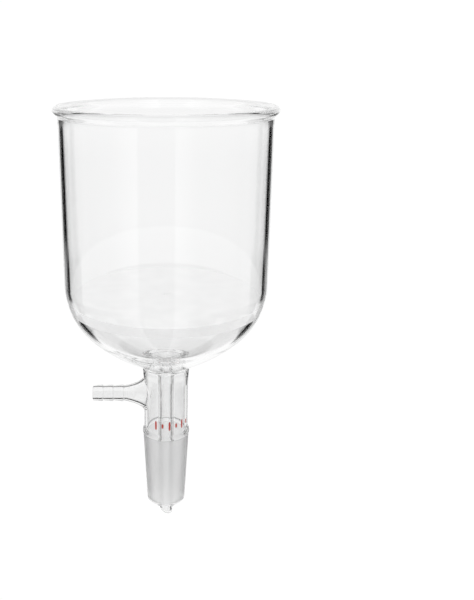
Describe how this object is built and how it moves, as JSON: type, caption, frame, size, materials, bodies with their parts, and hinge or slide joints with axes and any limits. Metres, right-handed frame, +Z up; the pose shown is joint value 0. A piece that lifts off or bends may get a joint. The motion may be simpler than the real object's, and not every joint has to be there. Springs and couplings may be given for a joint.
{
  "type": "buchner funnel",
  "caption": "Cylindrical glass funnel with a sintered glass disc, a vacuum side arm with a serrated hose end, an inner drip tube and a ground cone joint.",
  "frame": {"origin": "centre of the ground cone's large end, on the funnel's axis", "axes": "+Z up the funnel's axis to the rim, -X along the vacuum side arm, -Y the side that carries the enamel bars"},
  "size_m": [0.1054, 0.1054, 0.2193],
  "materials": {
    "clear_glass": "clear, fire polished",
    "sintered_glass": "white, matt, finely granular",
    "ground_glass": "finely ground, frosted",
    "red_enamel": "fired enamel, satin"
  },
  "bodies": {
    "root": {"bowl_barrel": "clear_glass", "bowl_base": "clear_glass", "fritted_disc": "sintered_glass", "ring_seal": "clear_glass", "drip_tube": "clear_glass", "stem_tube": "clear_glass", "side_arm": "clear_glass", "hose_barb": "clear_glass", "ground_joint": "ground_glass", "enamel_bar_1": "red_enamel", "enamel_bar_2": "red_enamel", "enamel_bar_3": "red_enamel", "enamel_bar_4": "red_enamel", "enamel_bar_5": "red_enamel", "enamel_bar_6": "red_enamel"}
  },
  "joints": []
}
